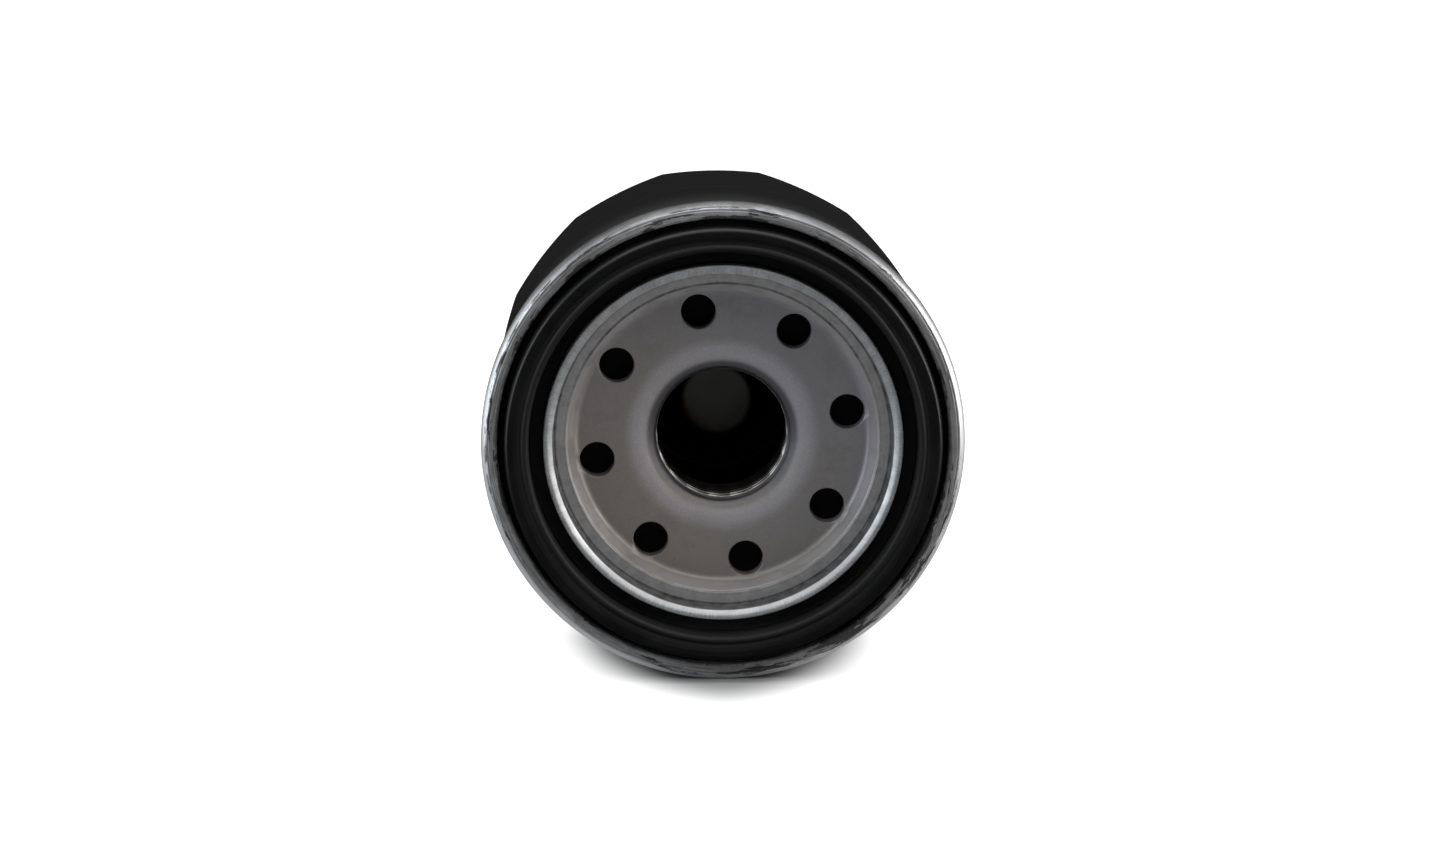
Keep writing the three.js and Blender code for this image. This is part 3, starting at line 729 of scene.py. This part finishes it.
def hole_cutters():
    """Punches for the inlet holes, flared where they meet the plate's face."""
    under = PLATE_FACE + PLATE_SHEET
    flare = 0.14
    corners = [
        (0, PLATE_FACE - 2, 0),
        (HOLE_RADIUS + flare + 0.6, PLATE_FACE - 0.6, 0),
        (HOLE_RADIUS, PLATE_FACE + flare, 0.35),
        (HOLE_RADIUS, under + 2, 0),
        (0, under + 2, 0),
    ]
    outline = rounded(corners)
    punches = []
    for index in range(HOLE_COUNT):
        angle = HOLE_PHASE + 2 * math.pi * index / HOLE_COUNT
        punch = lathe("punch", outline, 72)
        shift = Vector((math.cos(angle), 0, math.sin(angle))) * HOLE_CIRCLE * MM
        punch.transform(Matrix.Translation(shift))
        punches.append(punch)
    return joined("punches", punches)


def add_base_plate():
    under = PLATE_FACE + PLATE_SHEET
    rim_under = PLATE_FRONT + PLATE_SHEET
    corners = [
        (PLATE_RADIUS, PLATE_FRONT, 0.3),
        (PLATE_RADIUS, rim_under, 0.3),
        (DISH_TOP + 1, rim_under, 1.2),
        (DISH_FOOT + 1, under, 1.5),
        (NECK_RADIUS, under, 1.4),
        (NECK_RADIUS, NECK_BACK, 0.3),
        (THREAD_MAJOR + 0.1, NECK_BACK, 0.1),
        *bore_rows(),
        (DISH_FOOT, PLATE_FACE, 1.1),
        (DISH_TOP, PLATE_FRONT, 0.4),
    ]
    mesh = lathe("base_plate_model", rounded(corners), FINE, cut_bore)
    mesh = cut(mesh, hole_cutters())
    return add_piece("base_plate", mesh, bare_steel(), "housing")


def add_antidrainback_valve(rubber):
    neck = NECK_RADIUS + 0.1
    dish = PLATE_FACE + PLATE_SHEET + 1.6
    corners = [
        (neck, 12.9, 0.3),
        (14.0, dish, 0.6),
        (21.6, dish - 0.4, 2),
        (LIP_RADIUS - 1.1, LIP_FRONT + 0.9, 0.8),
        (LIP_RADIUS - 0.35, LIP_FRONT, 0.2),
        (LIP_RADIUS, LIP_FRONT + 0.4, 0.2),
        (22.4, dish + 0.6, 2.4),
        (14.6, dish + 1.1, 0.8),
        (14.0, COLLAR_BACK, 0.3),
        (neck, COLLAR_BACK, 0.3),
    ]
    mesh = lathe("anti_drainback_valve_model", rounded(corners))
    return add_piece("anti_drainback_valve", mesh, rubber, "anti_drainback_valve")


def add_end_caps(tin):
    sheet = 0.5
    hub_radius = 13.2
    hub_front = LOWER_CAP_BACK - sheet
    rim_back = ELEMENT_FRONT + 3.5
    hub_inner = GROMMET_RADIUS - 1.8
    lower = [
        (ELEMENT_RADIUS, rim_back, 0.2),
        (ELEMENT_RADIUS - sheet, rim_back, 0.2),
        (ELEMENT_RADIUS - sheet, ELEMENT_FRONT + sheet, 0.5),
        (hub_radius, ELEMENT_FRONT + sheet, 0.4),
        (hub_radius, LOWER_CAP_BACK, 0.5),
        (hub_inner, LOWER_CAP_BACK, 0.1),
        (hub_inner, hub_front, 0.1),
        (hub_radius - sheet, hub_front, 0.2),
        (hub_radius - sheet, ELEMENT_FRONT, 0.6),
        (ELEMENT_RADIUS, ELEMENT_FRONT, 0.9),
    ]
    inlet = 8
    upper = [
        (inlet, ELEMENT_BACK - sheet, 0.1),
        (UPPER_CAP_RADIUS - sheet, ELEMENT_BACK - sheet, 0.5),
        (UPPER_CAP_RADIUS - sheet, UPPER_CAP_FRONT, 0.2),
        (UPPER_CAP_RADIUS, UPPER_CAP_FRONT, 0.2),
        (UPPER_CAP_RADIUS, ELEMENT_BACK, 0.9),
        (inlet, ELEMENT_BACK, 0.2),
    ]
    add_piece("lower_end_cap", lathe("lower_end_cap_model", rounded(lower)), tin, "element")
    add_piece("upper_end_cap", lathe("upper_end_cap_model", rounded(upper)), tin, "element")


def add_grommet(rubber):
    outline = ring_outline(GROMMET_RADIUS - 1.8, GROMMET_RADIUS, GROMMET_FRONT, GROMMET_BACK, 0.35)
    mesh = lathe("element_grommet_model", outline)
    add_piece("element_grommet", mesh, rubber, "element")


def drill_mesh(radius, length):
    """A round bar along X, centred on the axis."""
    bm = bmesh.new()
    bmesh.ops.create_cone(
        bm, cap_ends=True, segments=28, radius1=radius * MM, radius2=radius * MM, depth=length * MM
    )
    bmesh.ops.rotate(bm, verts=bm.verts, matrix=Matrix.Rotation(math.pi / 2, 3, "Y"))
    mesh = bpy.data.meshes.new("drill")
    bm.to_mesh(mesh)
    bm.free()
    return mesh


def add_center_tube():
    outline = ring_outline(TUBE_RADIUS - 0.6, TUBE_RADIUS, TUBE_FRONT, TUBE_BACK, 0.12)
    wall = lathe("center_tube_model", outline)
    rows, drills = 4, 3
    cutters = []
    for row in range(rows):
        depth = TUBE_FRONT + (TUBE_BACK - TUBE_FRONT) * (row + 0.5) / rows
        for index in range(drills):
            drill = drill_mesh(1.6, 3 * TUBE_RADIUS)
            turn = math.pi * (index + (row % 2) / 2) / drills + math.pi / 2
            drill.transform(Matrix.Translation((0, depth * MM, 0)) @ Matrix.Rotation(turn, 4, "Y"))
            cutters.append(drill)
    mesh = cut(wall, joined("drills", cutters))
    # the centre tube is painted nearly black, painted shade inside the filter
    add_piece("center_tube", mesh, plain_tin("tube_painted_shade", 0.05), "element")


def add_potting():
    finish = plastisol()
    inner = 13.4
    for node, front, back in (
        ("lower_potting", LOWER_POTTING_FRONT, LOWER_POTTING_BACK),
        ("upper_potting", UPPER_POTTING_FRONT, UPPER_POTTING_BACK),
    ):
        outline = ring_outline(inner, POTTING_RADIUS, front, back, 0.3)
        add_piece(node, lathe(node + "_model", outline), finish, "element")


def extruded(name, outer, inner, front, back):
    """A wall between two closed outlines of the same length, extruded from front to back."""
    def ring(outline, depth):
        return [(x, depth, z) for x, z in outline]

    loops = [ring(outer, front), ring(outer, back), ring(inner, back), ring(inner, front)]
    points = np.array(loops)
    return finish_mesh(name, points.reshape(-1, 3), loft(points, True))


def add_pleated_media():
    """Folded paper of even thickness, its folds rounded, 36 pleats."""
    pleats = 36
    inner, outer, paper = 13.8, 27, 0.55
    samples = pleats * 24
    turn = np.linspace(0, 1, samples, endpoint=False) * pleats
    wave = 2 * np.abs((turn % 1) - 0.5)
    soft = smooth_step(wave, 0.0, 1.0) * 0.25 + wave * 0.75
    radius = inner + paper + (outer - inner - 2 * paper) * soft
    lean = 0.1 * np.sin(2 * math.pi * (turn % 1)) * 2 * math.pi / pleats
    angle = 2 * math.pi * turn / pleats + lean
    middle = np.stack([radius * np.cos(angle), radius * np.sin(angle)], -1)
    along = np.roll(middle, -1, 0) - np.roll(middle, 1, 0)
    along /= np.linalg.norm(along, axis=1, keepdims=True)
    across = np.stack([along[:, 1], -along[:, 0]], -1)
    offset = across * paper / 2
    mesh = extruded("pleated_media_model", middle + offset, middle - offset, MEDIA_FRONT, MEDIA_BACK)
    add_piece("pleated_media", mesh, filter_paper(), "element")


def add_media_clip(tin):
    low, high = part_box("media_seam_clip")
    x0, x1, half = low[0] / MM, high[0] / MM, high[2] / MM
    sheet = 0.35
    corners = [
        (x0, -half, 0.1),
        (x1, -half, 0.5),
        (x1, half, 0.5),
        (x0, half, 0.1),
        (x0, half - sheet, 0.1),
        (x1 - sheet, half - sheet, 0.25),
        (x1 - sheet, sheet - half, 0.25),
        (x0, sheet - half, 0.1),
    ]
    outline = rounded(corners)
    rings = np.array([[(x, depth, z) for x, z in outline] for depth in (MEDIA_FRONT, MEDIA_BACK)])
    size = len(outline)
    faces = loft(rings, False) + [tuple(range(size)), tuple(range(size, 2 * size))]
    mesh = finish_mesh("media_seam_clip_model", rings.reshape(-1, 3), faces)
    add_piece("media_seam_clip", mesh, tin, "element")


def add_bypass_valve(tin, wire, rubber):
    bore = 4.5
    seat = [
        (bore, SEAT_FRONT, 0.12),
        (bore + 0.5, SEAT_FRONT, 0.12),
        (bore + 0.9, SEAT_FRONT + 0.4, 0.2),
        (SEAT_RADIUS, SEAT_FRONT + 0.4, 0.15),
        (SEAT_RADIUS, SEAT_BACK, 0.15),
        (bore, SEAT_BACK, 0.2),
    ]
    add_piece("bypass_seat", lathe("bypass_seat_model", rounded(seat)), tin, "element")

    sheet, wall, bottom, shoulder, window_height = 0.6, 8, 5.3, 42.2, 3.4
    cage = [
        (0, CAGE_FRONT, 0),
        (bottom, CAGE_FRONT, 0.7),
        (wall, shoulder, 1.5),
        (wall, CAGE_BACK - sheet, 0.3),
        (SEAT_RADIUS, CAGE_BACK - sheet, 0.15),
        (SEAT_RADIUS, CAGE_BACK, 0.15),
        (wall - sheet, CAGE_BACK, 0.8),
        (wall - sheet, shoulder + sheet, 1),
        (bottom - sheet, CAGE_FRONT + sheet, 0.3),
        (0, CAGE_FRONT + sheet, 0),
    ]
    windows = []
    for index in range(3):
        bm = bmesh.new()
        bmesh.ops.create_cube(bm, size=1)
        bmesh.ops.scale(bm, verts=bm.verts, vec=Vector((5, window_height, wall)) * MM)
        window = bpy.data.meshes.new("window")
        bm.to_mesh(window)
        bm.free()
        place = Matrix.Translation(Vector((0, shoulder + window_height / 2 + 0.5, wall)) * MM)
        window.transform(Matrix.Rotation(2 * math.pi * index / 3, 4, "Y") @ place)
        windows.append(window)
    mesh = cut(lathe("bypass_cage_model", rounded(cage)), joined("windows", windows))
    # the cage is painted nearly black beyond its bottom, painted shade
    add_piece("bypass_cage", mesh, plain_tin("cage_tinplate", 0.52, bottom), "element")

    hub, pilot, pilot_length, disc = 1.9, 2.6, 1.6, 0.65
    disc_front = POPPET_FRONT + pilot_length
    poppet = [
        (0, POPPET_FRONT, 0),
        (pilot, POPPET_FRONT, 0.5),
        (pilot, disc_front, 0.2),
        (POPPET_RADIUS, disc_front, 0.2),
        (POPPET_RADIUS, disc_front + disc, 0.2),
        (hub, disc_front + disc, 0.1),
        (hub, POPPET_BACK, 0.3),
        (0, POPPET_BACK, 0),
    ]
    mesh = lathe("bypass_poppet_model", rounded(poppet))
    add_piece("bypass_poppet", mesh, tin, "bypass_poppet")
    seal = ring_outline(2, SEAL_RADIUS, SEAL_FRONT, SEAL_BACK, 0.2)
    add_piece("bypass_seal", lathe("bypass_seal_model", seal), rubber, "bypass_poppet")

    spring_front, spring_back = CAGE_FRONT + sheet + 0.05, disc_front - 0.05
    spring = coil_mesh("bypass_spring_model", 3.6, 0.7, spring_front, spring_back, 3.5)
    piece = add_piece("bypass_spring", spring, wire, "element")
    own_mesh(piece)


def add_element_spring(wire):
    front, back = ELEMENT_BACK + 0.05, CAN_BACK - CAN_SHEET - RECESS_DEPTH - 0.05
    mesh = coil_mesh("element_spring_model", 12.4, 1.6, front, back, 3.5)
    piece = add_piece("element_spring", mesh, wire, "housing")
    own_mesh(piece)


# ---- studio --------------------------------------------------------------------------------------

def studio_white(name, with_painted_shadow=False):
    """A pale matt surface that also glows; with the painted shadow its glow fades out in an ellipse close
    under the filter.
    """
    s = Surface(name, Roughness=1.0, Specular_IOR_Level=0.0, Emission_Color=(1, 1, 1, 1))
    fine = s.noise(s.point, 0.01, 2)
    colour = s.mix(fine, (0.29, 0.29, 0.29), (0.31, 0.31, 0.31))
    s.shader.inputs["Emission Strength"].default_value = 1.0
    if with_painted_shadow:
        # painted shadow: the glow fades out in a rounded ellipse about the filter's middle
        middle = (CAD_BOX[0][1] + CAD_BOX[1][1]) / 2 / MM
        across = s.math("ABSOLUTE", s.times(s.x, 1 / SHADE_HALF_WIDTH))
        along = s.math("ABSOLUTE", s.times(s.plus(s.depth, -middle), 1 / SHADE_HALF_LENGTH))
        total = s.plus(s.math("POWER", across, SHADE_POWER), s.math("POWER", along, SHADE_POWER))
        away = s.math("POWER", total, 1 / SHADE_POWER)
        s.feed(s.shader.inputs["Emission Strength"], s.ramp(away, *SHADE_EDGE))
    return s.finish(colour)


def add_stage():
    """A pale floor inside a white dome, which only the camera sees."""
    floor = CAD_BOX[0][2]
    bm = bmesh.new()
    bmesh.ops.create_grid(bm, x_segments=40, y_segments=40, size=FLOOR_HALF)
    bmesh.ops.translate(bm, verts=bm.verts, vec=(0, 0, floor))
    mesh = bpy.data.meshes.new("floor")
    bm.to_mesh(mesh)
    bm.free()
    mesh.materials.append(studio_white("pale_floor", with_painted_shadow=True))
    ground = bpy.data.objects.new("floor", mesh)
    ground.visible_glossy = False

    bm = bmesh.new()
    bmesh.ops.create_icosphere(bm, subdivisions=4, radius=DOME_RADIUS)
    bmesh.ops.reverse_faces(bm, faces=bm.faces)
    mesh = bpy.data.meshes.new("backdrop")
    bm.to_mesh(mesh)
    bm.free()
    mesh.shade_smooth()
    mesh.materials.append(studio_white("white_backdrop"))
    dome = bpy.data.objects.new("backdrop", mesh)
    for kind in ("diffuse", "glossy", "transmission", "volume_scatter", "shadow"):
        setattr(dome, "visible_" + kind, False)
    for item in (ground, dome):
        bpy.context.scene.collection.objects.link(item)


def add_softbox(name, location, target, size, power, colour=(1, 1, 1), mirrored=True):
    light = bpy.data.lights.new(name, "AREA")
    light.shape = "RECTANGLE"
    light.size, light.size_y = size
    light.energy = power
    light.color = colour
    lamp = bpy.data.objects.new(name, light)
    lamp.location = location
    lamp.rotation_mode = "QUATERNION"
    lamp.rotation_quaternion = (Vector(target) - Vector(location)).to_track_quat("-Z", "Y")
    lamp.visible_glossy = mirrored
    bpy.context.scene.collection.objects.link(lamp)
    return lamp


def add_lights():
    """A broad overhead key that lights the floor, and three dim panels that the metal mirrors."""
    target = (0, 0.03, 0)
    add_softbox("key", (0, 0.12, 0.85), target, (1.2, 0.8), 8, mirrored=False)
    add_softbox("top_panel", (0, -0.12, 0.8), target, (1.3, 1.25), 8)
    add_softbox("left_panel", (-0.75, -0.3, 0.15), target, (0.35, 0.6), 3.2, (0.88, 0.94, 1))
    add_softbox("right_panel", (0.75, -0.25, 0.2), target, (0.35, 0.6), 4.2, (1, 0.98, 0.97))
    world = bpy.data.worlds.new("studio")
    bpy.context.scene.world = world
    world.use_nodes = True
    background = world.node_tree.nodes["Background"]
    background.inputs["Color"].default_value = (1, 1, 1, 1)
    background.inputs["Strength"].default_value = 0.03


def add_camera():
    """A long lens a little above the filter's axis and a little to its left, like the photograph's."""
    elevation, azimuth = math.radians(CAMERA_ELEVATION), math.radians(CAMERA_AZIMUTH)
    camera = bpy.data.cameras.new("camera")
    camera.sensor_width = 36
    camera.lens = CAMERA_LENS
    camera.clip_start, camera.clip_end = 0.05, 20
    view = bpy.data.objects.new("camera", camera)
    level = math.cos(elevation)
    back = Vector((math.sin(azimuth) * level, -math.cos(azimuth) * level, math.sin(elevation)))
    turn = (-back).to_track_quat("-Z", "Y")
    view.rotation_mode = "QUATERNION"
    view.rotation_quaternion = turn
    view.location = back * CAMERA_DISTANCE + turn @ Vector(CAMERA_SHIFT)
    bpy.context.scene.collection.objects.link(view)
    bpy.context.scene.camera = view


def main():
    scene = bpy.context.scene
    scene.view_settings.view_transform = "Standard"
    add_camera()
    rubber, tin, wire = black_rubber(), plain_tin(), spring_wire()
    add_canister()
    add_seaming_lid()
    add_seam_compound()
    add_gasket(rubber)
    add_base_plate()
    add_antidrainback_valve(rubber)
    add_element_spring(wire)
    add_end_caps(tin)
    add_grommet(rubber)
    add_center_tube()
    add_potting()
    add_pleated_media()
    add_media_clip(tin)
    add_bypass_valve(tin, wire, rubber)
    add_stage()
    add_lights()


main()
